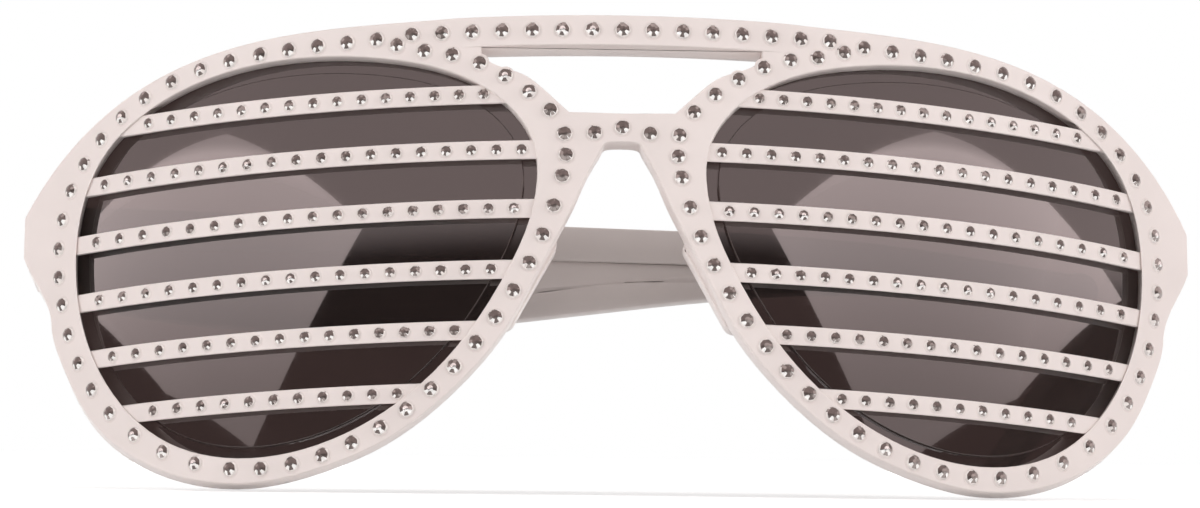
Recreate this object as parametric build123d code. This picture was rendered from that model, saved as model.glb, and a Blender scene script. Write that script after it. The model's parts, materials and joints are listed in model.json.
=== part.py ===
from build123d import *
import math
import os

# Slatted novelty glasses: a wrapped white front with six slats across each eye, smoke lenses
# behind them, foil-backed stones on every face, and two folding temples on screwed hinges.
# The front is drawn upright in its own axes: X to the viewer's right, Y back from the front's
# outermost line to the wearer, Z up from the middle of the eyes. At the end the whole thing
# leans back onto the table, where it stands on both rims and the tip of the open temple.

os.makedirs("parts", exist_ok=True)

# Front
wrap_radius = 105.0
rim_depth = 4.0
rim_width = 3.1
end_reach = 7.25
top_reach = 3.9
overrun = 1.0
front_reach = 60.0

# Eyes, measured at the opening's edge, with the inset from the middle line of the front
eye_half_width = 28.75
eye_half_height = 24.9
eye_inset = 10.25
eye_centre_z = 1.1

# Brow bar, the gap under it and the bridge
brow_height = 3.8
brow_depth = 5.0
brow_proud = 0.5
brow_overlap = 2.9
gap_height = 8.5
gap_overlap = 7.15
bridge_height = 3.6

# Slats
slat_height = 2.45
slat_thickness = 1.4
slat_recess = 0.3
slat_draft = 0.35

# Lenses
lens_lap = 1.2
lens_side_gap = 0.05
lens_seat_gap = 0.03
lens_step = 0.6
lens_step_inset = 1.6
lens_edge_thickness = 1.0

# Nose pads, moulded on the backs of the rims
pad_length = 13.0
pad_width = 3.0
pad_depth = 3.0
pad_slant = 61.0

# Hinges
hinge_inset = 3.6
hinge_reach = 3.84
hinge_rise = 6.3
knuckle_radius = 2.3
knuckle_inset = 0.1
knuckle_height = 5.0
lug_thickness = 2.3
hinge_gap = 0.1
screw_radius = 0.8
screw_head_radius = 1.6
screw_head_height = 0.8
screw_bore_gap = 0.05

# Temples, drawn open
temple_length = 134.0
temple_root_gap = 0.6
temple_thickness = 2.8
temple_tip_thickness = 2.2
temple_straight = 84.0
temple_tip_inset = 3.5
temple_height = 12.0
temple_drop = 6.2
panel_depth = 0.5
fold_angle = 91.5
# Direction of the temple's outer side, from above, at the bend and at the tip
bend_lead = (0, 1)
tip_lead = (-0.15, 1)

# Stones
slat_stone_radius = 0.8
rim_stone_radius = 1.05
stone_sides = 6
stone_height_share = 0.5
stone_table_share = 0.5
brow_row_overhang = 5.46
brow_stones_each_side = 7
bridge_stone_x = 3.4
bridge_stone_drop = 0.7

# Outline of the front, viewer's right half. The rim's and end piece's points are in shares of an
# eye grown by the rim's width, and the arch's in shares of the eye's inset and the arch's height.
shoulder_shares = ((-0.031, 1.010), (0.346, 0.960), (0.659, 0.843), (0.885, 0.678), (1.043, 0.493))
end_height_shares = (0.346, 0.160)
flare_shares = ((1.074, 0.032), (1.024, -0.075), (0.998, -0.204))
rim_shares = (
    (0.951, -0.368), (0.827, -0.636), (0.615, -0.857), (0.377, -0.972), (0.151, -1.000),
    (-0.087, -0.953), (-0.327, -0.847), (-0.615, -0.597), (-0.798, -0.343),
)
arch_shares = ((1.046, -0.333), (0.739, 0.133), (0.527, 0.473), (0.366, 0.761), (0.241, 0.935))
# Directions of the outline where a rim leaves its end piece and at the top of the arch
rim_lead = (-0.16, -1)
arch_lead = (-1, 0)
# Edge of an eye's opening, in shares of the eye's half sizes about its centre
eye_shares = (
    (-0.998, 0.337), (-0.911, 0.659), (-0.748, 0.815), (-0.334, 0.968), (0.104, 1.000),
    (0.539, 0.906), (0.877, 0.643), (1.000, 0.076), (0.856, -0.526), (0.539, -0.900),
    (0.157, -1.000), (-0.282, -0.863), (-0.654, -0.514), (-0.883, -0.104),
)
# Lower edge of the gap under the brow bar, in shares of its half width and height
gap_shares = ((0.990, 0.890), (0.954, 0.812), (0.701, 0.588), (0.511, 0.282), (0.374, 0.018))
# Slats from the top: centre height, and the first and last stone, in shares of the eye
slat_height_shares = (0.765, 0.482, 0.187, -0.116, -0.416, -0.719)
slat_stone_counts = (15, 18, 18, 17, 15, 11)
slat_stone_shares = (
    (-0.769, 0.685), (-0.932, 0.877), (-0.901, 0.908),
    (-0.807, 0.887), (-0.657, 0.817), (-0.421, 0.626),
)
# Stones round a rim: where the row turns, in shares of an eye grown by half the rim's width, and
# the steps from each turn to the next
rim_row_shares = (
    (-0.294, 1.002), (0.185, 0.979), (0.667, 0.843), (0.980, 0.450), (1.003, -0.105),
    (0.779, -0.666), (0.268, -0.987), (-0.221, -0.900), (-0.623, -0.563), (-0.918, -0.083),
    (-1.047, 0.325), (-1.056, 0.525), (-0.911, 0.726), (-0.601, 0.911), (-0.377, 0.970),
)
rim_row_steps = (4, 4, 4, 4, 4, 4, 4, 4, 4, 3, 2, 2, 3, 2, 1)
# Which point of the rim's outline is its bottom
lowest_of_rim = 4
# Middle of a nose pad, in the same shares as the row of stones
pad_share = (-0.901, -0.132)
# Side view of a temple: its upper and lower edges, in shares of its length and root height
temple_upper_shares = (
    (0.015, 1.02), (0.25, 0.94), (0.48, 0.86), (0.64, 0.80), (0.80, 0.66), (0.90, 0.48), (0.975, 0.32),
)
temple_lower_shares = (
    (0.975, -0.06), (0.90, 0.03), (0.80, 0.12), (0.70, 0.12), (0.60, 0.03), (0.43, -0.20),
    (0.28, -0.32), (0.14, -0.26), (0.015, -0.02),
)
# Sunk panel on the inner face of a temple, in the same shares
panel_upper_shares = ((0.12, 0.55), (0.30, 0.52), (0.48, 0.47), (0.62, 0.43), (0.76, 0.40))
panel_lower_shares = ((0.76, 0.30), (0.62, 0.25), (0.55, 0.24), (0.47, 0.13), (0.30, -0.02), (0.12, 0.02))


def wrap_depth(x, under=0):
    """How far back the wrapped surface lies at this distance from the middle line."""
    return wrap_radius - math.sqrt((wrap_radius - under) ** 2 - x**2)


# Worked out from the sizes above
eye_centre_x = eye_inset + eye_half_width
front_half_width = eye_centre_x + eye_half_width + end_reach
front_top = eye_centre_z + eye_half_height + top_reach
gap_half_width = eye_inset + gap_overlap
brow_half_length = gap_half_width + brow_overlap
brow_underside = front_top - brow_height
brow_bow = wrap_depth(brow_half_length) + brow_proud
brow_radius = (brow_half_length**2 + brow_bow**2) / (2 * brow_bow)
bridge_top = brow_underside - gap_height
arch_top = bridge_top - bridge_height
hinge_x = front_half_width - hinge_inset
hinge_y = wrap_depth(hinge_x, rim_depth) + hinge_reach
hinge_z = eye_centre_z + hinge_rise
temple_base = hinge_z - temple_drop


def prism(face):
    """Carries a face of the front view back through the whole front."""
    return extrude(Plane.XZ * face, amount=-front_reach) + extrude(Plane.XZ * face, amount=overrun)


def round_block(radius):
    """Everything behind the wrapped surface of this radius."""
    return Pos(0, wrap_radius, 0) * Cylinder(radius, 2 * front_reach)


def layer(face, front, back):
    """The part of a front-view face that lies between two depths under the outer surface."""
    return prism(face) & (round_block(wrap_radius - front) - round_block(wrap_radius - back))


def on_eye(shares, grow=0):
    return [
        (eye_centre_x + x * (eye_half_width + grow), eye_centre_z + z * (eye_half_height + grow))
        for x, z in shares
    ]


def eye_face(grow=0):
    """The viewer's right eye opening, grown all round."""
    return make_face(Spline(*on_eye(eye_shares, grow), periodic=True))


def both(face):
    return face + mirror(face, about=Plane.YZ)


def front_face():
    """Half of the front's outline, closed along the middle line, and its mirror image."""
    brow_end = (brow_half_length, front_top)
    end_reaches = [(0, share) for share in end_height_shares]
    end_top, end_bottom = [(front_half_width, z) for _, z in on_eye(end_reaches, rim_width)]
    flare = on_eye(flare_shares, rim_width)
    rim = on_eye(rim_shares, rim_width)
    rise = arch_top - eye_centre_z
    arch = [(x * eye_inset, eye_centre_z + z * rise) for x, z in arch_shares]
    top = Line((0, front_top), brow_end)
    shoulder = Spline(brow_end, *on_eye(shoulder_shares, rim_width), end_top)
    tip = Line(end_top, end_bottom)
    neck = Spline(end_bottom, *flare)
    turns = (rim_lead, arch_lead)
    under = Spline(flare[-1], *rim, *arch, (0, arch_top), tangents=turns)
    middle = Line((0, arch_top), (0, front_top))
    return both(make_face([top, shoulder, tip, neck, under, middle]))


def brow_gap_face():
    lower = [
        (x * gap_half_width, bridge_top + z * gap_height) for x, z in gap_shares
    ]
    corner = (lower[0][0], brow_underside)
    path = Polyline((0, bridge_top), (0, brow_underside), corner, lower[0])
    edge = Spline(*lower)
    floor = Line(lower[-1], (0, bridge_top))
    return both(make_face([path, edge, floor]))


def brow_bar():
    """The bar over the nose, bowed out more than the front and flush with it at its ends."""
    face = Pos(0, front_top - brow_height / 2) * Rectangle(2 * brow_half_length, brow_height)
    bowed = Pos(0, brow_radius - brow_proud, 0) * Cylinder(brow_radius, 2 * front_reach)
    return prism(face) & (bowed - round_block(wrap_radius - brow_depth))


def slat_centres():
    return [eye_centre_z + share * eye_half_height for share in slat_height_shares]


def slats():
    """Bars across both eyes, drawn in behind their faces, with their ends inside the rims."""
    room = prism(both(eye_face(overrun)))
    face = wrap_radius - slat_recess
    back = face - slat_thickness
    half = slat_height / 2
    bars = []
    for z in slat_centres():
        upper = [(face, z + half), (back, z + half - slat_draft)]
        lower = [(back, z - half + slat_draft), (face, z - half)]
        section = make_face(Polyline(*upper, *lower, close=True))
        ring = Pos(0, wrap_radius, 0) * revolve(Plane.XZ * section, axis=Axis.Z)
        bars.append(ring & room)
    return bars


def hinge_lugs(side):
    """The two lugs behind an end piece, with the space for the temple's knuckle between them."""
    arm = Pos(0, -hinge_y / 2) * Rectangle(2 * knuckle_radius, hinge_y)
    plan = Pos(side * hinge_x, hinge_y) * (Circle(knuckle_radius) + arm)
    lugs = []
    for up in (1, -1):
        level = hinge_z + up * (knuckle_height / 2 + hinge_gap) - (lug_thickness if up < 0 else 0)
        lugs.append(extrude(Pos(0, 0, level) * plan, amount=lug_thickness))
    behind = round_block(wrap_radius - rim_depth / 2)
    return [lug & behind for lug in lugs]


def nose_pad(side):
    """A low ridge on the back of the rim, where it bears on the nose."""
    x, z = on_eye([pad_share], rim_width / 2)[0]
    outline = Pos(side * x, z) * Rot(Z=side * -pad_slant) * SlotOverall(pad_length, pad_width)
    return layer(outline, rim_depth - lens_seat_gap, rim_depth + pad_depth)


def lens_pocket():
    return layer(eye_face(lens_lap), slat_recess + slat_thickness + lens_step, front_reach / 2)


def front_frame():
    body = layer(front_face(), 0, rim_depth)
    body += brow_bar()
    for side in (1, -1):
        body += nose_pad(side)
        for lug in hinge_lugs(side):
            body += lug
    for cut in (layer(eye_face(), -overrun, front_reach / 2), lens_pocket()):
        body -= cut
        body -= mirror(cut, about=Plane.YZ)
    for bar in slats():
        body += bar
    body -= prism(brow_gap_face())
    for side in (1, -1):
        bore = Pos(side * hinge_x, hinge_y, hinge_z) * Cylinder(screw_radius, front_reach)
        body -= bore
    return body


def lens(side):
    """A plate whose edge is stepped down to the ledge, so that its field fills the opening."""
    field = slat_recess + slat_thickness + lens_seat_gap
    edge = field + lens_step
    body = layer(eye_face(lens_lap - lens_side_gap), field, edge + lens_edge_thickness)
    body -= layer(eye_face(lens_lap) - eye_face(-lens_step_inset), 0, edge)
    return body if side > 0 else mirror(body, about=Plane.YZ)


def temple_spot(along, up):
    return (hinge_y + along * temple_length, temple_base + up * temple_height)


def temple_outline():
    upper = [temple_spot(*share) for share in temple_upper_shares]
    lower = [temple_spot(*share) for share in temple_lower_shares]
    tip_z = (upper[-1][1] + lower[0][1]) / 2
    tip = ThreePointArc(upper[-1], (hinge_y + temple_length, tip_z), lower[0])
    return make_face([Spline(*upper), tip, Spline(*lower), Line(lower[-1], upper[0])])


def panel_outline():
    upper = [temple_spot(*share) for share in panel_upper_shares]
    lower = [temple_spot(*share) for share in panel_lower_shares]
    ends = [Line(upper[-1], lower[0]), Line(lower[-1], upper[0])]
    return make_face([Spline(*upper), ends[0], Spline(*lower), ends[1]])


def temple_plan(inner=0):
    """The temple from above: straight to the bend, then drawn in to the tip."""
    half = temple_thickness / 2
    outer_x = hinge_x + half
    inner_x = hinge_x - half + inner
    start = hinge_y - knuckle_radius
    bend = hinge_y + temple_straight
    tip = hinge_y + temple_length + overrun
    tip_outer = outer_x - temple_tip_inset
    tip_inner = tip_outer - temple_tip_thickness + inner
    outside = Line((outer_x, start), (outer_x, bend))
    outer_curve = Spline((outer_x, bend), (tip_outer, tip), tangents=(bend_lead, tip_lead))
    end = Line((tip_outer, tip), (tip_inner, tip))
    inner_curve = Spline((inner_x, bend), (tip_inner, tip), tangents=(bend_lead, tip_lead))
    inside = Line((inner_x, bend), (inner_x, start))
    close = Line((inner_x, start), (outer_x, start))
    return make_face([outside, outer_curve, end, inner_curve, inside, close])


def temple_slice(outline, plan):
    """What a side-view outline and a plan have in common."""
    blade = Pos(hinge_x - front_reach / 2, 0, 0) * extrude(Plane.YZ * outline, amount=front_reach)
    return blade & (Pos(0, 0, -front_reach) * extrude(plan, amount=2 * front_reach))


def temple(side):
    body = temple_slice(temple_outline(), temple_plan())
    groove = temple_slice(panel_outline(), temple_plan())
    groove -= temple_slice(panel_outline(), temple_plan(panel_depth))
    body -= groove
    clear = Pos(hinge_x, hinge_y, 0) * Cylinder(knuckle_radius + temple_root_gap, front_reach)
    body -= clear
    half = temple_thickness / 2 - knuckle_inset
    reach = knuckle_radius + 2 * temple_root_gap
    web = Pos(0, reach / 2) * Rectangle(2 * half, reach)
    root = Pos(hinge_x, hinge_y) * (Circle(half) + web)
    level = hinge_z - knuckle_height / 2
    body += Pos(0, 0, level) * extrude(root, amount=knuckle_height)
    bore = screw_radius + screw_bore_gap
    body -= Pos(hinge_x, hinge_y, hinge_z) * Cylinder(bore, 2 * knuckle_height)
    if side > 0:
        return body
    pivot = Pos(-hinge_x, hinge_y, 0)
    return pivot * Rot(Z=-fold_angle) * pivot.inverse() * mirror(body, about=Plane.YZ)


def hinge_screw(side):
    """Head on the upper lug, shank through the knuckle to the foot of the lower lug."""
    lug_top = hinge_z + knuckle_height / 2 + hinge_gap + lug_thickness
    length = knuckle_height + 2 * (hinge_gap + lug_thickness)
    top = Plane(origin=(side * hinge_x, hinge_y, lug_top))
    head = extrude(top * Circle(screw_head_radius), amount=screw_head_height)
    return head + extrude(top * Circle(screw_radius), amount=-length)


def stone_ring(radius, height):
    turns = [2 * math.pi * i / stone_sides for i in range(stone_sides)]
    return [(radius * math.cos(turn), radius * math.sin(turn), height) for turn in turns]


def cut_stone(radius, table):
    """A flat-backed stone whose sides lean in to a table of this radius, or to a point."""
    height = radius * stone_height_share
    crown = stone_ring(table, height) if table else [(0, 0, height)]
    return ConvexPolyhedron(stone_ring(radius, 0) + crown)


def seat(x, z, radius=wrap_radius, front=0):
    """The plane that touches a bowed face, of this radius and foremost depth, at this spot."""
    deep = math.sqrt(radius**2 - x**2)
    out = (x / radius, -deep / radius, 0)
    return Plane(origin=(x, front + radius - deep, z), x_dir=(0, 0, 1), z_dir=out)


slat_stone = cut_stone(slat_stone_radius, 0)
rim_stone = cut_stone(rim_stone_radius, rim_stone_radius * stone_table_share)


def slat_stones(number, side):
    first, last = slat_stone_shares[number]
    steps = slat_stone_counts[number] - 1
    z = slat_centres()[number]
    stones = []
    for i in range(steps + 1):
        x = eye_centre_x + eye_half_width * (first + (last - first) * i / steps)
        stones.append(seat(side * x, z, wrap_radius - slat_recess, slat_recess) * slat_stone)
    return Compound(children=stones)


def rim_stones(side):
    """Stones along one closed curve, evenly spaced between the turns of the row."""
    turns = on_eye(rim_row_shares, rim_width / 2)
    row = Spline(*turns, periodic=True)
    marks = [row.param_at_point(turn) for turn in turns] + [1.0]
    marks[0] = 0.0
    stones = []
    for start, end, steps in zip(marks, marks[1:], rim_row_steps):
        for i in range(steps):
            spot = row @ (start + (end - start) * i / steps)
            stones.append(seat(side * spot.X, spot.Y) * rim_stone)
    return Compound(children=stones)


def brow_stones():
    """A level row along the brow bar that runs on over the rims at both ends."""
    pitch = (brow_half_length + brow_row_overhang) / brow_stones_each_side
    level = front_top - brow_height / 2
    stones = []
    for i in range(-brow_stones_each_side, brow_stones_each_side + 1):
        if abs(i) * pitch + rim_stone_radius < brow_half_length:
            spot = seat(i * pitch, level, brow_radius, -brow_proud)
        else:
            spot = seat(i * pitch, level)
        stones.append(spot * rim_stone)
    return Compound(children=stones)


def bridge_stones():
    level = arch_top + bridge_height / 2
    spots = ((0, 0), (1, bridge_stone_drop), (-1, bridge_stone_drop))
    stones = [seat(side * bridge_stone_x, level - drop) * rim_stone for side, drop in spots]
    return Compound(children=stones)


def lean_angle():
    """How far the glasses tip back to stand on both rims and one temple tip, in degrees."""
    rim_x, rim_z = on_eye(rim_shares, rim_width)[lowest_of_rim]
    tip_y, tip_z = temple_spot(*temple_lower_shares[0])
    return math.degrees(math.atan2(tip_z - rim_z, tip_y - wrap_depth(rim_x, rim_depth)))


nodes = {"front_frame": front_frame(), "brow_stones": brow_stones(), "bridge_stones": bridge_stones()}
for side, name in ((-1, "left"), (1, "right")):
    nodes[f"smoke_lens_{name}"] = lens(side)
    nodes[f"temple_{name}"] = temple(side)
    nodes[f"hinge_screw_{name}"] = hinge_screw(side)
    nodes[f"rim_stones_{name}"] = rim_stones(side)
    for number in range(len(slat_stone_counts)):
        nodes[f"slat_{number + 1}_stones_{name}"] = slat_stones(number, side)

lean = Rot(X=-lean_angle())
box = Compound([lean * solid for shape in nodes.values() for solid in shape.solids()]).bounding_box()
place = Pos(0, -box.center().Y, -box.min.Z) * lean
print("lean", lean_angle(), "moved by", place.position)
for name, shape in nodes.items():
    export_step(Compound([place * solid for solid in shape.solids()]), f"parts/{name}.step")
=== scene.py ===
import json
import math
import random

import bmesh
import bpy
from bpy.props import FloatProperty, FloatVectorProperty, IntProperty, PointerProperty
from bpy.types import Operator, Panel, PropertyGroup
from mathutils import Euler, Matrix, Vector


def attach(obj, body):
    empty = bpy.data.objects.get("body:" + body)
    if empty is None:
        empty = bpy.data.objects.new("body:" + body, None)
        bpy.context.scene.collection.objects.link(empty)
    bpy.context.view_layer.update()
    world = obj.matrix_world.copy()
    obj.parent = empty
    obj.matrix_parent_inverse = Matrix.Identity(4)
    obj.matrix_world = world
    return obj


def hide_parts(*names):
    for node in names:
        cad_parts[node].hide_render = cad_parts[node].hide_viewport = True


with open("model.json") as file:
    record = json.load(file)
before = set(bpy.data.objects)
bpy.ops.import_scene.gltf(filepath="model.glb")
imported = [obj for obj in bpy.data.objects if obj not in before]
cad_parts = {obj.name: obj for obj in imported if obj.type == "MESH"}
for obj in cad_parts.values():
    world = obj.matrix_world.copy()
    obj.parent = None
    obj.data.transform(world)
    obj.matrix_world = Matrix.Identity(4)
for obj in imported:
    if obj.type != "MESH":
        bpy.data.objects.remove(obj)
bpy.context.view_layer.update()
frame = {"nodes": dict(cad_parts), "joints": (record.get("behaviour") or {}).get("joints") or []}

bl_info = {
    "name": "Slatted novelty glasses",
    "version": (1, 0, 0),
    "blender": (4, 5, 0),
    "location": "3D View > Sidebar > Glasses",
    "description": "Moulded front, smoke lenses, stones, temples and stage of slatted novelty glasses",
    "category": "Object",
}

# The hinge pins lie along the upright direction of the front, which leans back on the table
FRONT_UP = Vector(frame["joints"][0]["axis"]).normalized()
# The front and the lenses curve round an upright line through this point
WRAP_MIDDLE = Vector((0, 0.0193076, 0.010924))
# A face whose normal is within 6 degrees of that curve's follows the curve
WRAPPED = math.cos(math.radians(6))

# Points nearer than this are one, and faces that differ by less than this angle are one flat face
WELD = 1e-6
FLAT = math.radians(0.4)
# Edges sharper than the first angle are rounded, and sharper than the second they shade as edges
SHARP = math.radians(30)
CREASE = math.radians(50)

# A collar's inner side, as a share of its stone's radius
COLLAR_INNER = 0.94
# A collar's corners: the side they stand by, how far out from it and how high, in collar heights
COLLAR_CORNERS = (
    ("outer", 0.3, -0.3), ("outer", -0.2, 0.75), ("inner", 0.35, 1.0), ("inner", 0.0, -0.3))
COLLAR_STEPS = 14

# The step round the crown lies this share of the way up the stone
STEP_LEVEL = 0.55
# Width of the small facets along the ridges, as a share of the stone's radius
RIDGE_WIDTH = 0.24
# A facet nearer the middle than this is the table
TABLE_REACH = 0.1
# The outer facets begin this far beyond the middle of the inner ones
OUTER_MARGIN = 0.1
# Most that a stone is turned in its setting, in radians
STONE_TURN = 0.3
# A facet's painted tones, in the order of the stones' materials: painted pale sheen, painted glint,
# painted half reflection and painted dark reflection, each fixed in the facet's colour
PAINTED_SHEEN, PAINTED_GLINT, PAINTED_HALF_REFLECTION, PAINTED_DARK_REFLECTION = range(4)
# Eighths of a turn, counted from the right by way of the top: those at the top, and the two beside the
# lowest, where the painted glints go
EIGHTH = math.pi / 4
TOP_EIGHTHS = (1, 2, 3)
STEM_SIDES = (5, 7)
# The painted tones that a facet's is drawn from, in each place on a stone: glints painted low beside
# the stem, dark reflections painted in the table and the inner facets
TABLE_PAINTED_TONES = (PAINTED_GLINT, PAINTED_HALF_REFLECTION, PAINTED_DARK_REFLECTION, PAINTED_DARK_REFLECTION, PAINTED_DARK_REFLECTION)
OUTER_PAINTED_TONES = (PAINTED_SHEEN,)
OUTER_TOP_PAINTED_TONES = (PAINTED_SHEEN, PAINTED_SHEEN, PAINTED_SHEEN, PAINTED_SHEEN, PAINTED_SHEEN, PAINTED_HALF_REFLECTION)
STEM_SIDE_PAINTED_TONES = (PAINTED_SHEEN, PAINTED_GLINT, PAINTED_GLINT, PAINTED_GLINT, PAINTED_HALF_REFLECTION)
INNER_PAINTED_TONES = (PAINTED_HALF_REFLECTION, PAINTED_DARK_REFLECTION, PAINTED_DARK_REFLECTION, PAINTED_DARK_REFLECTION)

# Rounding of a screw's head as a share of its thickness, and the land round its slot as a share
# of its radius
HEAD_ROUNDING = 0.3
SLOT_LAND = 0.06
# How far the slot's walls lean in, as a share of its width
SLOT_DRAFT = 0.05

# Each lamp's name, place and width, and the size that gives its watts
SOFTBOXES = (
    ("top_softbox", (-0.1, -0.75, 1.25), 1.0, "top_light"),
    ("left_softbox", (-0.79, -0.51, 0.34), 0.5, "side_light"),
    ("right_softbox", (0.79, -0.51, 0.34), 0.5, "side_light"),
    ("back_softbox", (0.1, 0.95, 0.35), 0.6, "back_light"),
)
# Where the lamps are aimed
LIT_SPOT = Vector((0, -0.05, 0.03))
# How far the floor goes each way from the middle, and the radii between which the lamps' light
# on it fades
FLOOR_REACH = 6
LAMP_REACH = (0.2, 1.3)
# The studio in front is lit above a tilted line and unlit below it: the line's upright, and its
# level and softness along that
STUDIO_UP = (0, 0.19, 0.98)
STUDIO_LINE = (0.212, 0.005)
# White paper stands behind the glasses, from this level and softness along the way back
PAPER_BACK = (0, 1, 0)
PAPER_LINE = (0.2, 0.1)
# Corners of each card, from the upper one round, as its lens mirrors it
LIGHT_CARDS = (
    ("light_card_left", (
        (-0.795, -0.471, 0.344), (-0.547, -0.738, 0.359), (-0.756, -0.569, 0.253),
        (-0.879, -0.357, 0.235), (-0.936, -0.154, 0.224), (-0.949, -0.012, 0.219))),
    ("light_card_right", (
        (0.729, -0.556, 0.361), (0.903, -0.246, 0.279), (0.945, -0.054, 0.217),
        (0.859, -0.393, 0.241), (0.650, -0.683, 0.264), (0.396, -0.822, 0.374))),
)
# Middle and half of a card's height along the studio's upright, and its light up that height
CARD_SPAN = (0.195, 0.055)
CARD_LIGHT = ((0.0, 0.3), (0.91, 1.0), (0.975, 0.6))
# A Mix node's sockets for two colours and their mix
WARM_FROM, WARM_TO, WARM_OUT = 6, 7, 2


class PlasticSizes(PropertyGroup):
    """The moulded front and temples"""
    colour: FloatVectorProperty(
        name="Colour", description="Moulded white plastic, a little warm",
        subtype="COLOR", size=3, min=0, max=1, default=(0.84, 0.75, 0.72))
    front_rounding: FloatProperty(
        name="Front rounding", description="Radius of the moulded edges of the front",
        default=0.00018, min=0, unit="LENGTH")
    temple_rounding: FloatProperty(
        name="Temple rounding", description="Radius of the moulded edges of the temples",
        default=0.0004, min=0, unit="LENGTH")
    roughness: FloatProperty(
        name="Roughness", description="How dull the moulded faces are",
        default=0.36, min=0, max=1, subtype="FACTOR")


class LensSizes(PropertyGroup):
    """The smoke lenses"""
    tint: FloatVectorProperty(
        name="Tint", description="Light that passes through the smoke lens",
        subtype="COLOR", size=3, min=0, max=1, default=(0.037, 0.027, 0.025))
    gloss: FloatProperty(
        name="Gloss", description="Share of a hard clear coat on the lens",
        default=1.0, min=0, max=1, subtype="FACTOR")
    rounding: FloatProperty(
        name="Rounding", description="Width of the bevel along the lens's steps",
        default=0.00012, min=0, unit="LENGTH")


class StoneSizes(PropertyGroup):
    """The cut stones and the collars round them"""
    sectors: IntProperty(
        name="Sectors", description="Main facets round a stone", default=8, min=5, max=12)
    table_share: FloatProperty(
        name="Table share", description="Table's radius as a share of the stone's",
        default=0.42, min=0.2, max=0.8, subtype="FACTOR")
    shoulder_share: FloatProperty(
        name="Shoulder share",
        description="Radius of the step round the crown as a share of the stone's",
        default=0.84, min=0.5, max=0.95, subtype="FACTOR")
    crown_share: FloatProperty(
        name="Crown share", description="Stone's height as a share of its radius",
        default=0.5, min=0.2, max=0.5, subtype="FACTOR")
    collar_width: FloatProperty(
        name="Collar width", description="Width of the moulded collar round a stone",
        default=0.00014, min=0, unit="LENGTH")
    collar_height: FloatProperty(
        name="Collar height", description="Height of the moulded collar round a stone",
        default=0.00004, min=0, unit="LENGTH")
    # The facet colours below are painted reflections: pale sheen, bright glints, half and dark
    # reflections, fixed in each facet's colour
    pale: FloatVectorProperty(
        name="Pale facets", description="Outer facets, which show the white plastic under the stone",
        subtype="COLOR", size=3, min=0, max=1, default=(0.88, 0.81, 0.78))
    bright: FloatVectorProperty(
        name="Bright facets", description="Facets that throw the light back",
        subtype="COLOR", size=3, min=0, max=1, default=(0.9, 0.87, 0.85))
    middle: FloatVectorProperty(
        name="Middle facets", description="Facets half way between",
        subtype="COLOR", size=3, min=0, max=1, default=(0.36, 0.31, 0.29))
    # Painted dark reflection: the dark of these facets is fixed in their colour
    dark: FloatVectorProperty(
        name="Dark facets", description="Facets whose foil looks into the dark",
        subtype="COLOR", size=3, min=0, max=1, default=(0.15, 0.118, 0.108))
    change: FloatProperty(
        name="Change", description="Share of the facets that look different on the next stone",
        default=0.3, min=0, max=1, subtype="FACTOR")
    # Seed of the draw that gives each facet its painted glint, sheen and dark reflection
    seed: IntProperty(name="Seed", description="Which facets flash", default=11, min=0)


class HingeSizes(PropertyGroup):
    """The hinge screws"""
    slot_width: FloatProperty(
        name="Slot width", description="Width of the screw's slot",
        default=0.0005, min=0, unit="LENGTH")
    slot_depth: FloatProperty(
        name="Slot depth", description="Depth of the screw's slot",
        default=0.0004, min=0, unit="LENGTH")
    colour: FloatVectorProperty(
        name="Steel", description="Colour of the screws",
        subtype="COLOR", size=3, min=0, max=1, default=(0.56, 0.55, 0.54))


class StageSizes(PropertyGroup):
    """The camera, the lamps, the studio that the lenses mirror, and the floor"""
    camera_place: FloatVectorProperty(
        name="Camera place", description="Where the photograph was taken from",
        subtype="TRANSLATION", unit="LENGTH", size=3, default=(-0.02482, -0.58287, 0.00495))
    camera_turn: FloatVectorProperty(
        name="Camera turn", description="Which way the camera looks",
        subtype="EULER", size=3,
        default=(math.radians(92.7876), math.radians(-0.6948), math.radians(-2.577)))
    focal_length: FloatProperty(
        name="Focal length", description="In millimetres, on the sensor's width", default=124.02, min=1)
    sensor_width: FloatProperty(
        name="Sensor width", description="In millimetres", default=36, min=1)
    fill: FloatProperty(
        name="Fill", description="Strength of the light from all round", default=0.42, min=0)
    top_light: FloatProperty(
        name="Top light", description="Watts of the large lamp above the camera", default=2.0, min=0)
    side_light: FloatProperty(
        name="Side light", description="Watts of the softbox on each side of the camera",
        default=3.5, min=0)
    back_light: FloatProperty(
        name="Back light", description="Watts of the lamp low behind the glasses", default=3.0, min=0)
    card_light: FloatProperty(
        name="Card light", description="Strength of the two light cards beside the camera",
        default=3.3, min=0)
    warmth: FloatVectorProperty(
        name="Warmth", description="Colour of the studio and the light cards, as gloss shows them",
        subtype="COLOR", size=3, min=0, max=1, default=(1.0, 0.83, 0.82))
    unlit: FloatProperty(
        name="Unlit studio", description="How bright gloss sees the unlit part of the studio",
        default=0.05, min=0, max=1, subtype="FACTOR")
    floor_colour: FloatVectorProperty(
        name="Floor", description="Pale floor", subtype="COLOR", size=3, min=0, max=1,
        default=(0.9, 0.9, 0.9))
    near_lift: FloatProperty(
        name="Near lift",
        description="What the floor by the glasses shows to the camera beyond the light on it",
        default=0.4, min=0)
    far_lift: FloatProperty(
        name="Far lift", description="The same, out where the lamps don't reach",
        default=0.64, min=0)


SETTINGS = {
    "glasses_plastic": PlasticSizes,
    "glasses_lens": LensSizes,
    "glasses_stones": StoneSizes,
    "glasses_hinge": HingeSizes,
    "glasses_stage": StageSizes,
}


def new_finish(name):
    """A new material with its node tree and main shader."""
    material = bpy.data.materials.new(name)
    material.use_nodes = True
    return material, material.node_tree, material.node_tree.nodes["Principled BSDF"]


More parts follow.
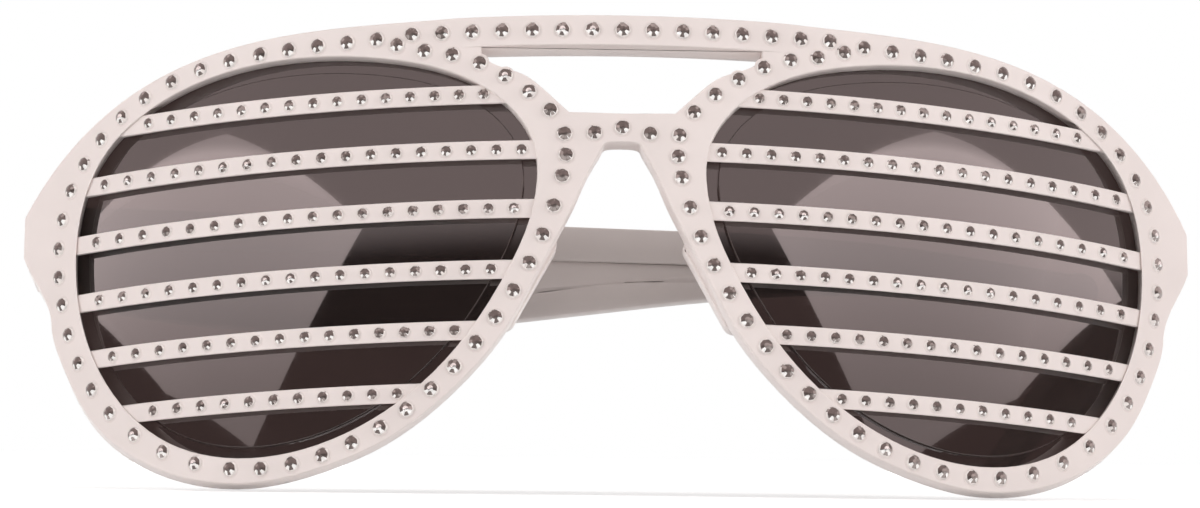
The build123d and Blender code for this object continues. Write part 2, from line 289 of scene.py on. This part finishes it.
def tinted(colour, share):
    """A colour's parts times a share, and 1 at most."""
    return tuple(min(1.0, part * share) for part in colour)


def object_place(tree):
    """The socket that gives each point's place on its object."""
    return tree.nodes.new("ShaderNodeTexCoord").outputs["Object"]


def noise(tree, cells, stretch=(1, 1, 1), **values):
    """Noise with so many cells to a metre, squeezed along each axis by the stretch."""
    turn = tree.nodes.new("ShaderNodeMapping")
    turn.inputs["Scale"].default_value = stretch
    texture = tree.nodes.new("ShaderNodeTexNoise")
    texture.inputs["Scale"].default_value = cells
    for key, value in values.items():
        texture.inputs[key].default_value = value
    tree.links.new(object_place(tree), turn.inputs["Vector"])
    tree.links.new(turn.outputs["Vector"], texture.inputs["Vector"])
    return texture.outputs["Fac"]


def ramp(tree, source, *stops):
    """Colours along the source; each stop is a level of the source and its colour."""
    node = tree.nodes.new("ShaderNodeValToRGB")
    for element, (level, colour) in zip(node.color_ramp.elements, (stops[0], stops[-1])):
        element.position = level
        element.color = (*colour, 1)
    for level, colour in stops[1:-1]:
        node.color_ramp.elements.new(level).color = (*colour, 1)
    tree.links.new(source, node.inputs["Fac"])
    return node.outputs["Color"]


def spread(tree, source, low, high, start=0.0, end=1.0, kind="LINEAR"):
    """low where the source is at its start, high where it is at its end."""
    node = tree.nodes.new("ShaderNodeMapRange")
    node.interpolation_type = kind
    node.inputs["From Min"].default_value = start
    node.inputs["From Max"].default_value = end
    node.inputs["To Min"].default_value = low
    node.inputs["To Max"].default_value = high
    tree.links.new(source, node.inputs["Value"])
    return node.outputs["Result"]


def mixed(tree, share, low, high):
    """low where the share is 0 and high where it is 1; each is a number or a socket."""
    node = tree.nodes.new("ShaderNodeMix")
    node.data_type = "FLOAT"
    tree.links.new(share, node.inputs["Factor"])
    for key, value in (("A", low), ("B", high)):
        if isinstance(value, float):
            node.inputs[key].default_value = value
        else:
            tree.links.new(value, node.inputs[key])
    return node.outputs["Result"]


def either(tree, first, second):
    """The larger of two values, such as two kinds of ray."""
    node = tree.nodes.new("ShaderNodeMath")
    node.operation = "MAXIMUM"
    tree.links.new(first, node.inputs[0])
    tree.links.new(second, node.inputs[1])
    return node.outputs["Value"]


def beyond(tree, direction, axis, line, soft):
    """0 to 1 across a soft line, where the direction's part along an axis passes it."""
    part = tree.nodes.new("ShaderNodeVectorMath")
    part.operation = "DOT_PRODUCT"
    part.inputs[1].default_value = axis
    tree.links.new(direction, part.inputs[0])
    return spread(tree, part.outputs["Value"], 0.0, 1.0, line - soft, line + soft, "SMOOTHSTEP")


def paint(tree, shader, source, colour, less, more, low=0.3, high=0.7):
    """The surface's colour, from less to more of it as the source goes from low to high."""
    tone = ramp(tree, source, (low, tinted(colour, less)), (high, tinted(colour, more)))
    tree.links.new(tone, shader.inputs["Base Color"])


def dull(tree, shader, source, low, high):
    """The surface's roughness, from low to high with the source."""
    tree.links.new(spread(tree, source, low, high), shader.inputs["Roughness"])


def relief(tree, shader, source, height):
    """Bump of this height, in metres, from the source, on top of any bump there is."""
    node = tree.nodes.new("ShaderNodeBump")
    node.inputs["Distance"].default_value = height
    tree.links.new(source, node.inputs["Height"])
    before = shader.inputs["Normal"].links
    if before:
        tree.links.new(before[0].from_socket, node.inputs["Normal"])
    tree.links.new(node.outputs["Normal"], shader.inputs["Normal"])


def white_plastic(name, gloss=0.0):
    """Injection-moulded white plastic: faint clouding, a fine skin and a few soft sink marks."""
    sizes = bpy.context.scene.glasses_plastic
    material, tree, shader = new_finish(name)
    cloud = noise(tree, 90, Detail=4.0)
    paint(tree, shader, cloud, sizes.colour, 0.965, 1.02)
    skin = noise(tree, 1400, Detail=3.0)
    roughness = sizes.roughness - gloss
    dull(tree, shader, skin, roughness - 0.06, roughness + 0.08)
    relief(tree, shader, skin, 0.000012)
    sink = noise(tree, 160, Detail=1.0)
    relief(tree, shader, sink, 0.00007)
    shader.inputs["IOR"].default_value = 1.5
    return material


def smoke_plastic():
    """Tinted clear plastic with faint flow streaks and fine rubbing marks."""
    sizes = bpy.context.scene.glasses_lens
    material, tree, shader = new_finish("smoke_plastic")
    flow = noise(tree, 45, stretch=(1, 1, 3), Detail=2.0, Distortion=0.6)
    paint(tree, shader, flow, sizes.tint, 0.93, 1.06)
    rub = noise(tree, 700, stretch=(1, 1, 6), Detail=4.0)
    dull(tree, shader, rub, 0.0, 0.05)
    shader.inputs["Transmission Weight"].default_value = 1.0
    shader.inputs["IOR"].default_value = 1.585
    shader.inputs["Coat Weight"].default_value = sizes.gloss
    shader.inputs["Coat Roughness"].default_value = 0.0
    shader.inputs["Coat IOR"].default_value = 1.585
    return material


def painted_foil_facet(name, colour, metal):
    """Foil seen through a clear stone: metal under a glossy coat, with faint clouding, in a given
    colour that is a painted reflection, from pale sheen and glint to dark reflection.
    """
    material, tree, shader = new_finish(name)
    cloud = noise(tree, 2200, Detail=2.0)
    paint(tree, shader, cloud, colour, 0.8, 1.12)
    dull(tree, shader, cloud, 0.12, 0.3)
    shader.inputs["Metallic"].default_value = metal
    shader.inputs["Coat Weight"].default_value = 0.4
    shader.inputs["Coat Roughness"].default_value = 0.04
    return material


def screw_steel():
    """Turned steel, with fine rings from the lathe."""
    sizes = bpy.context.scene.glasses_hinge
    material, tree, shader = new_finish("turned_steel")
    stain = noise(tree, 900, Detail=3.0)
    paint(tree, shader, stain, sizes.colour, 0.8, 1.1, low=0.35, high=0.65)
    rings = noise(tree, 5000, stretch=(1, 1, 0.1), Detail=2.0)
    dull(tree, shader, rings, 0.22, 0.38)
    relief(tree, shader, rings, 0.000008)
    shader.inputs["Metallic"].default_value = 1.0
    return material


def welded(node):
    """A copy of a CAD node's mesh as a bmesh, welded and with its flat faces made whole."""
    shape = bmesh.new()
    shape.from_mesh(frame["nodes"][node].data)
    bmesh.ops.remove_doubles(shape, verts=shape.verts, dist=WELD)
    bmesh.ops.dissolve_limit(shape, angle_limit=FLAT, verts=shape.verts, edges=shape.edges)
    for face in shape.faces:
        face.smooth = True
    return shape


def round_edges(shape, width, segments):
    """Rounds every sharp outward edge of a welded shape."""
    sharp = [
        edge for edge in shape.edges
        if len(edge.link_faces) == 2 and edge.calc_face_angle_signed() > SHARP
    ]
    if not sharp:
        raise RuntimeError("a moulded piece has no sharp edge to round")
    bmesh.ops.bevel(
        shape, geom=sharp, offset=width, offset_type="OFFSET", segments=segments,
        profile=0.5, affect="EDGES", material=-1, clamp_overlap=False, loop_slide=True)


def follow_wrap(mesh):
    """Gives each face that curves round the upright line the normals of that curve."""
    normals = [corner.vector.copy() for corner in mesh.corner_normals]
    for face in mesh.polygons:
        for corner in face.loop_indices:
            spoke = mesh.vertices[mesh.loops[corner].vertex_index].co - WRAP_MIDDLE
            spoke = (spoke - spoke.dot(FRONT_UP) * FRONT_UP).normalized()
            outward = spoke.dot(face.normal)
            if abs(outward) > WRAPPED:
                normals[corner] = spoke * math.copysign(1, outward)
    mesh.normals_split_custom_set(normals)


def finished_mesh(shape, name):
    """A mesh of a finished bmesh, which is freed."""
    mesh = bpy.data.meshes.new(name)
    shape.to_mesh(mesh)
    shape.free()
    return mesh


def new_object(name, data):
    """Puts a mesh, a lamp or a camera into the scene."""
    made = bpy.data.objects.new(name, data)
    bpy.context.scene.collection.objects.link(made)
    return made


def add_piece(shape, name, body, slot, materials, *nodes, wrapped=False):
    """Makes a piece of a finished bmesh, lets it ride on a body and stand for its nodes."""
    mesh = finished_mesh(shape, name)
    if not mesh.polygons:
        raise RuntimeError(f"{name} has no faces")
    for material in materials:
        mesh.materials.append(material)
    mesh.set_sharp_from_angle(angle=CREASE)
    if wrapped:
        follow_wrap(mesh)
    piece = new_object(name, mesh)
    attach(piece, body)
    if nodes:
        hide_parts(*nodes)


def stone_nodes():
    """The nodes that are rows or rings of stones."""
    return sorted(name for name in frame["nodes"] if "stones" in name)


def stone_spots(node):
    """Middle of the back, outward direction and radius of each stone of a node."""
    shape = welded(node)
    waiting = set(shape.faces)
    spots = []
    while waiting:
        stone = {waiting.pop()}
        border = list(stone)
        while border:
            near = {face for edge in border.pop().edges for face in edge.link_faces} & waiting
            waiting -= near
            stone |= near
            border.extend(near)
        back = max(stone, key=lambda face: face.calc_area())
        middle = back.calc_center_median()
        radius = max((vert.co - middle).length for vert in back.verts)
        spots.append((middle.copy(), -back.normal, radius))
    shape.free()
    return in_line(spots)


def in_line(spots):
    """The spots from the leftmost on, each followed by its nearest neighbour."""
    row = []
    near = min(spots, key=lambda spot: (round(spot[0].x, 5), spot[0].z))
    while spots:
        spots.remove(near)
        row.append(near)
        near = min(spots, default=None,
                   key=lambda spot: (round((spot[0] - row[-1][0]).length, 5), -spot[0].z))
    return row


def spot_matrix(middle, out, radius, turn=0.0):
    """Carries a unit shape, drawn upward on the origin, onto a stone's spot."""
    across = FRONT_UP.cross(out).normalized()
    up = out.cross(across)
    axes = Matrix((across, up, out)).transposed().to_4x4()
    return Matrix.Translation(middle) @ axes @ Matrix.Rotation(turn, 4, "Z") @ Matrix.Scale(radius, 4)


def place_copy(shape, mesh, matrix):
    """Adds a copy of a mesh to a shape, carried by a matrix."""
    copy = mesh.copy()
    copy.transform(matrix)
    shape.from_mesh(copy)
    bpy.data.meshes.remove(copy)


def collar_ring(radius, sizes):
    """The low rounded ring moulded round a stone of this radius, its foot sunk in the front."""
    sides = {"inner": radius * COLLAR_INNER, "outer": radius + sizes.collar_width}
    high = sizes.collar_height
    ring = bmesh.new()
    verts = [
        ring.verts.new((sides[side] + out * high, 0, level * high))
        for side, out, level in COLLAR_CORNERS
    ]
    edges = [ring.edges.new(pair) for pair in zip(verts, verts[1:] + verts[:1])]
    bmesh.ops.spin(
        ring, geom=verts + edges, cent=(0, 0, 0), axis=(0, 0, 1), dvec=(0, 0, 0),
        angle=2 * math.pi, steps=COLLAR_STEPS, use_merge=True, use_duplicate=False)
    bmesh.ops.recalc_face_normals(ring, faces=ring.faces)
    for face in ring.faces:
        face.smooth = True
    return finished_mesh(ring, "collar_ring")


def unit_stone(sizes):
    """A stone of radius 1: a low crown with bevelled ridges, a step and a table."""
    shape = bmesh.new()
    low = sizes.crown_share * STEP_LEVEL
    shoulder = sizes.shoulder_share
    bmesh.ops.create_cone(
        shape, cap_ends=True, cap_tris=False, segments=sizes.sectors,
        radius1=1, radius2=shoulder, depth=low, matrix=Matrix.Translation((0, 0, low / 2)))
    ridges = [
        edge for edge in shape.edges
        if abs(edge.verts[0].co.z - edge.verts[1].co.z) > low / 2
    ]
    bmesh.ops.bevel(
        shape, geom=ridges, offset=RIDGE_WIDTH, offset_type="OFFSET", segments=1,
        profile=0.5, affect="EDGES", material=-1)
    top = max(shape.faces, key=lambda face: face.calc_center_median().z)
    bmesh.ops.inset_individual(
        shape, faces=[top], thickness=shoulder - sizes.table_share, depth=sizes.crown_share - low)
    return finished_mesh(shape, "unit_stone")


def painted_facet_tone(middle, turn, luck, sizes):
    """The painted tone of the facet with this middle, on a stone that is turned by so much: a glint,
    sheen and dark reflection are painted into the facets' colours. The outer facets are painted pale
    sheen. Inside them a stone is painted with half and dark reflections, but for two painted glints
    beside its lowest one, so that the dark ones stand like leaves on a stem."""
    reach = math.hypot(middle.x, middle.y)
    if reach < TABLE_REACH:
        return luck.choice(TABLE_PAINTED_TONES)
    eighth = round((math.atan2(middle.y, middle.x) + turn) / EIGHTH) % 8
    if reach > (sizes.shoulder_share + sizes.table_share) / 2 + OUTER_MARGIN:
        return luck.choice(OUTER_TOP_PAINTED_TONES if eighth in TOP_EIGHTHS else OUTER_PAINTED_TONES)
    return luck.choice(STEM_SIDE_PAINTED_TONES if eighth in STEM_SIDES else INNER_PAINTED_TONES)


def slotted_screw(node, sizes):
    """A screw on its node's own measures, with a rounded head and a blind slot."""
    blank = welded(node)
    levels = [vert.co.dot(FRONT_UP) for vert in blank.verts]
    top, bottom = max(levels), min(levels)
    crown = [vert.co for vert, level in zip(blank.verts, levels) if level > top - WELD]
    foot = [vert.co for vert, level in zip(blank.verts, levels) if level < bottom + WELD]
    middle = sum(crown, Vector()) / len(crown)
    foot_middle = sum(foot, Vector()) / len(foot)
    radius = max((place - middle).length for place in crown)
    shank = max((place - foot_middle).length for place in foot)
    under = min(level for vert, level in zip(blank.verts, levels)
                if (vert.co - middle).cross(FRONT_UP).length > (radius + shank) / 2)
    blank.free()

    shape = bmesh.new()
    thick = top - under
    bmesh.ops.create_cone(
        shape, cap_ends=True, cap_tris=False, segments=32, radius1=radius, radius2=radius,
        depth=thick, matrix=Matrix.Translation((0, 0, -thick / 2)))
    rim = [edge for edge in shape.edges if all(abs(vert.co.z) < WELD for vert in edge.verts)]
    bmesh.ops.bevel(
        shape, geom=rim, offset=thick * HEAD_ROUNDING, offset_type="OFFSET", segments=3,
        profile=0.5, affect="EDGES", material=-1)
    disc = max(shape.faces, key=lambda face: face.calc_center_median().z)
    bmesh.ops.inset_individual(shape, faces=[disc], thickness=radius * SLOT_LAND, depth=0)
    for side in (-1, 1):
        disc = min(shape.faces, key=lambda face: face.calc_center_median().length)
        bmesh.ops.bisect_plane(
            shape, geom=[disc, *disc.edges, *disc.verts], dist=WELD / 10,
            plane_co=(0, side * sizes.slot_width / 2, 0), plane_no=(0, 1, 0))
    slot = min(shape.faces, key=lambda face: face.calc_center_median().length)
    bmesh.ops.inset_individual(
        shape, faces=[slot], thickness=sizes.slot_width * SLOT_DRAFT, depth=-sizes.slot_depth)
    length = under - bottom
    bmesh.ops.create_cone(
        shape, cap_ends=True, cap_tris=False, segments=20, radius1=shank, radius2=shank,
        depth=length, matrix=Matrix.Translation((0, 0, -thick - length / 2)))
    across = Vector((1, 0, 0))
    axes = Matrix((across, FRONT_UP.cross(across), FRONT_UP)).transposed().to_4x4()
    bmesh.ops.transform(shape, matrix=Matrix.Translation(middle) @ axes, verts=shape.verts)
    return shape


class GLASSES_OT_front(Operator):
    """Build the moulded front with rounded edges over the CAD front"""
    bl_idname = "glasses.front"
    bl_label = "Front"

    def execute(self, context):
        sizes = context.scene.glasses_plastic
        moulded = white_plastic("front_plastic")
        shape = welded("front_frame")
        round_edges(shape, sizes.front_rounding, 2)
        add_piece(shape, "moulded_front", "front", "white_plastic", [moulded],
                  "front_frame", wrapped=True)
        return {"FINISHED"}


class GLASSES_OT_collars(Operator):
    """Build the low moulded collar round every stone"""
    bl_idname = "glasses.collars"
    bl_label = "Stone collars"

    def execute(self, context):
        sizes = context.scene.glasses_stones
        shape = bmesh.new()
        for node in stone_nodes():
            spots = stone_spots(node)
            ring = collar_ring(spots[0][2], sizes)
            for middle, out, radius in spots:
                place_copy(shape, ring, spot_matrix(middle, out, 1))
            bpy.data.meshes.remove(ring)
        moulded = white_plastic("collar_plastic", gloss=0.12)
        add_piece(shape, "stone_collars", "front", "white_plastic", [moulded])
        return {"FINISHED"}


class GLASSES_OT_stones(Operator):
    """Cut the facets of every foil-backed stone and paint a fixed glint, sheen and dark reflection into
    the facets' colours
    """
    bl_idname = "glasses.stones"
    bl_label = "Stones"

    def execute(self, context):
        sizes = context.scene.glasses_stones
        luck = random.Random(sizes.seed)
        # One material for each painted reflection: pale sheen, glint, half and dark reflection
        facets = [
            painted_foil_facet("facet_pale", sizes.pale, metal=0.0),
            painted_foil_facet("facet_bright", sizes.bright, metal=0.75),
            painted_foil_facet("facet_middle", sizes.middle, metal=0.5),
            painted_foil_facet("facet_dark", sizes.dark, metal=0.5),
        ]
        blank = unit_stone(sizes)
        # The bevel leaves its faces in no fixed order, and the draws need one
        cuts = sorted(blank.polygons, key=lambda face: [round(part, 4) for part in face.center.zyx])
        placed = 0
        for node in stone_nodes():
            shape = bmesh.new()
            for middle, out, radius in stone_spots(node):
                turn = luck.uniform(-STONE_TURN, STONE_TURN)
                for face in cuts:
                    # Neighbours face nearly the same way, so most of their facets keep the same painted
                    # reflection
                    if not placed or luck.random() < sizes.change:
                        face.material_index = painted_facet_tone(face.center, turn, luck, sizes)
                place_copy(shape, blank, spot_matrix(middle, out, radius, turn))
                placed += 1
            add_piece(shape, f"cut_{node}", "front", "stones", facets, node)
        bpy.data.meshes.remove(blank)
        return {"FINISHED"}


class GLASSES_OT_lenses(Operator):
    """Build the two smoke lenses with bevelled steps"""
    bl_idname = "glasses.lenses"
    bl_label = "Lenses"

    def execute(self, context):
        sizes = context.scene.glasses_lens
        tinted_plastic = smoke_plastic()
        for side in ("left", "right"):
            shape = welded(f"smoke_lens_{side}")
            round_edges(shape, sizes.rounding, 1)
            add_piece(shape, f"lens_{side}", "front", "smoke_lens", [tinted_plastic],
                      f"smoke_lens_{side}", wrapped=True)
        return {"FINISHED"}


class GLASSES_OT_temples(Operator):
    """Build the two temples with rounded edges"""
    bl_idname = "glasses.temples"
    bl_label = "Temples"

    def execute(self, context):
        sizes = context.scene.glasses_plastic
        moulded = white_plastic("temple_plastic")
        for side in ("left", "right"):
            shape = welded(f"temple_{side}")
            round_edges(shape, sizes.temple_rounding, 2)
            add_piece(shape, f"moulded_temple_{side}", f"temple_{side}_arm", "white_plastic",
                      [moulded], f"temple_{side}")
        return {"FINISHED"}


class GLASSES_OT_screws(Operator):
    """Build the slotted hinge screws"""
    bl_idname = "glasses.screws"
    bl_label = "Hinge screws"

    def execute(self, context):
        sizes = context.scene.glasses_hinge
        steel = screw_steel()
        for side in ("left", "right"):
            node = f"hinge_screw_{side}"
            shape = slotted_screw(node, sizes)
            add_piece(shape, f"slotted_{node}", "front", "screw_steel", [steel], node)
        return {"FINISHED"}


class GLASSES_OT_stage(Operator):
    """Lay the floor and set the lights and the camera of the photograph"""
    bl_idname = "glasses.stage"
    bl_label = "Stage"

    def execute(self, context):
        sizes = context.scene.glasses_stage
        lay_floor(sizes)
        light_world(sizes)
        for name, place, width, light in SOFTBOXES:
            softbox(name, place, width, getattr(sizes, light))
        for name, corners in LIGHT_CARDS:
            light_card(name, sizes, corners)
        place_camera(sizes)
        context.scene.view_settings.view_transform = "Standard"
        return {"FINISHED"}


def lay_floor(sizes):
    """A pale floor with the object's shadow on it.
    The camera, the lenses and gloss see it as bright as the paper behind, less that shadow."""
    shape = bmesh.new()
    bmesh.ops.create_grid(shape, x_segments=8, y_segments=8, size=FLOOR_REACH)
    mesh = finished_mesh(shape, "floor")
    floor = new_object("floor", mesh)
    material, tree, shader = new_finish("pale_floor")
    grain = noise(tree, 40, Detail=3.0)
    paint(tree, shader, grain, sizes.floor_colour, 0.985, 1.0)
    shader.inputs["Roughness"].default_value = 0.9
    shader.inputs["Specular IOR Level"].default_value = 0.1
    reach = tree.nodes.new("ShaderNodeVectorMath")
    reach.operation = "LENGTH"
    tree.links.new(object_place(tree), reach.inputs[0])
    lift = spread(
        tree, reach.outputs["Value"], sizes.near_lift, sizes.far_lift, *LAMP_REACH, "SMOOTHSTEP")
    path = tree.nodes.new("ShaderNodeLightPath")
    seen = either(tree, path.outputs["Is Camera Ray"], path.outputs["Is Transmission Ray"])
    seen = either(tree, seen, path.outputs["Is Glossy Ray"])
    shader.inputs["Emission Color"].default_value = (1, 1, 1, 1)
    tree.links.new(mixed(tree, seen, 0.0, lift), shader.inputs["Emission Strength"])
    mesh.materials.append(material)


def light_world(sizes):
    """White paper to the camera and through the lenses, and a softer fill for all the rest.
    Gloss sees that paper behind and above, and the unlit studio in front and below."""
    world = bpy.data.worlds.new("studio")
    world.use_nodes = True
    tree = world.node_tree
    sky = tree.nodes["Background"]
    path = tree.nodes.new("ShaderNodeLightPath")
    warm = tree.nodes.new("ShaderNodeMix")
    warm.data_type = "RGBA"
    tree.links.new(path.outputs["Is Glossy Ray"], warm.inputs["Factor"])
    warm.inputs[WARM_FROM].default_value = (1, 1, 1, 1)
    warm.inputs[WARM_TO].default_value = (*sizes.warmth, 1)
    tree.links.new(warm.outputs[WARM_OUT], sky.inputs["Color"])
    seen = either(tree, path.outputs["Is Camera Ray"], path.outputs["Is Transmission Ray"])
    direction = tree.nodes.new("ShaderNodeTexCoord").outputs["Generated"]
    above = beyond(tree, direction, STUDIO_UP, *STUDIO_LINE)
    behind = beyond(tree, direction, PAPER_BACK, *PAPER_LINE)
    studio = spread(tree, either(tree, above, behind), sizes.unlit, 1.0)
    fill = mixed(tree, path.outputs["Is Glossy Ray"], sizes.fill, studio)
    tree.links.new(mixed(tree, seen, fill, 1.0), sky.inputs["Strength"])
    bpy.context.scene.world = world


def softbox(name, place, width, power):
    """A square lamp aimed at the glasses, which the camera, gloss and the lenses don't show."""
    data = bpy.data.lights.new(name, "AREA")
    data.size = width
    data.energy = power
    lamp = new_object(name, data)
    lamp.location = place
    lamp.rotation_euler = (LIT_SPOT - Vector(place)).to_track_quat("-Z", "Y").to_euler()
    lamp.visible_camera = False
    lamp.visible_glossy = False
    lamp.visible_transmission = False


def light_card(name, sizes, corners):
    """A glowing card that the lenses mirror and the camera doesn't see."""
    shape = bmesh.new()
    shape.faces.new([shape.verts.new(corner) for corner in corners])
    mesh = finished_mesh(shape, name)
    card = new_object(name, mesh)
    material, tree, shader = new_finish(name)
    shader.inputs["Base Color"].default_value = (0, 0, 0, 1)
    rise = beyond(tree, object_place(tree), STUDIO_UP, *CARD_SPAN)
    glow = ramp(tree, rise, *((level, tinted(sizes.warmth, share)) for level, share in CARD_LIGHT))
    tree.links.new(glow, shader.inputs["Emission Color"])
    shader.inputs["Emission Strength"].default_value = sizes.card_light
    mesh.materials.append(material)
    card.visible_camera = False
    card.visible_shadow = False
    card.visible_transmission = False


def place_camera(sizes):
    """The camera at the photograph's place and angle."""
    data = bpy.data.cameras.new("photo_camera")
    data.sensor_fit = "HORIZONTAL"
    data.sensor_width = sizes.sensor_width
    data.lens = sizes.focal_length
    data.clip_start = 0.01
    data.clip_end = 100
    camera = new_object("photo_camera", data)
    camera.location = sizes.camera_place
    camera.rotation_euler = Euler(sizes.camera_turn)
    bpy.context.scene.camera = camera


OPERATORS = (
    GLASSES_OT_front, GLASSES_OT_collars, GLASSES_OT_stones, GLASSES_OT_lenses,
    GLASSES_OT_temples, GLASSES_OT_screws, GLASSES_OT_stage,
)


class GLASSES_PT_panel(Panel):
    """Lists the steps that dress the glasses, and their sizes and colours"""
    bl_idname = "GLASSES_PT_panel"
    bl_label = "Glasses"
    bl_space_type = "VIEW_3D"
    bl_region_type = "UI"
    bl_category = "Glasses"

    def draw(self, context):
        for key, group in SETTINGS.items():
            box = self.layout.box()
            for name in group.__annotations__:
                box.prop(getattr(context.scene, key), name)
        for operator in OPERATORS:
            self.layout.operator(operator.bl_idname)


def register():
    for group in SETTINGS.values():
        bpy.utils.register_class(group)
    for key, group in SETTINGS.items():
        setattr(bpy.types.Scene, key, PointerProperty(type=group))
    for operator in OPERATORS:
        bpy.utils.register_class(operator)
    bpy.utils.register_class(GLASSES_PT_panel)


def unregister():
    bpy.utils.unregister_class(GLASSES_PT_panel)
    for operator in reversed(OPERATORS):
        bpy.utils.unregister_class(operator)
    for key in SETTINGS:
        delattr(bpy.types.Scene, key)
    for group in reversed(list(SETTINGS.values())):
        bpy.utils.unregister_class(group)


def main():
    """Builds the glasses and their stage."""
    register()
    bpy.ops.glasses.front()
    bpy.ops.glasses.collars()
    bpy.ops.glasses.stones()
    bpy.ops.glasses.lenses()
    bpy.ops.glasses.temples()
    bpy.ops.glasses.screws()
    bpy.ops.glasses.stage()


if __name__ == "__main__":
    main()
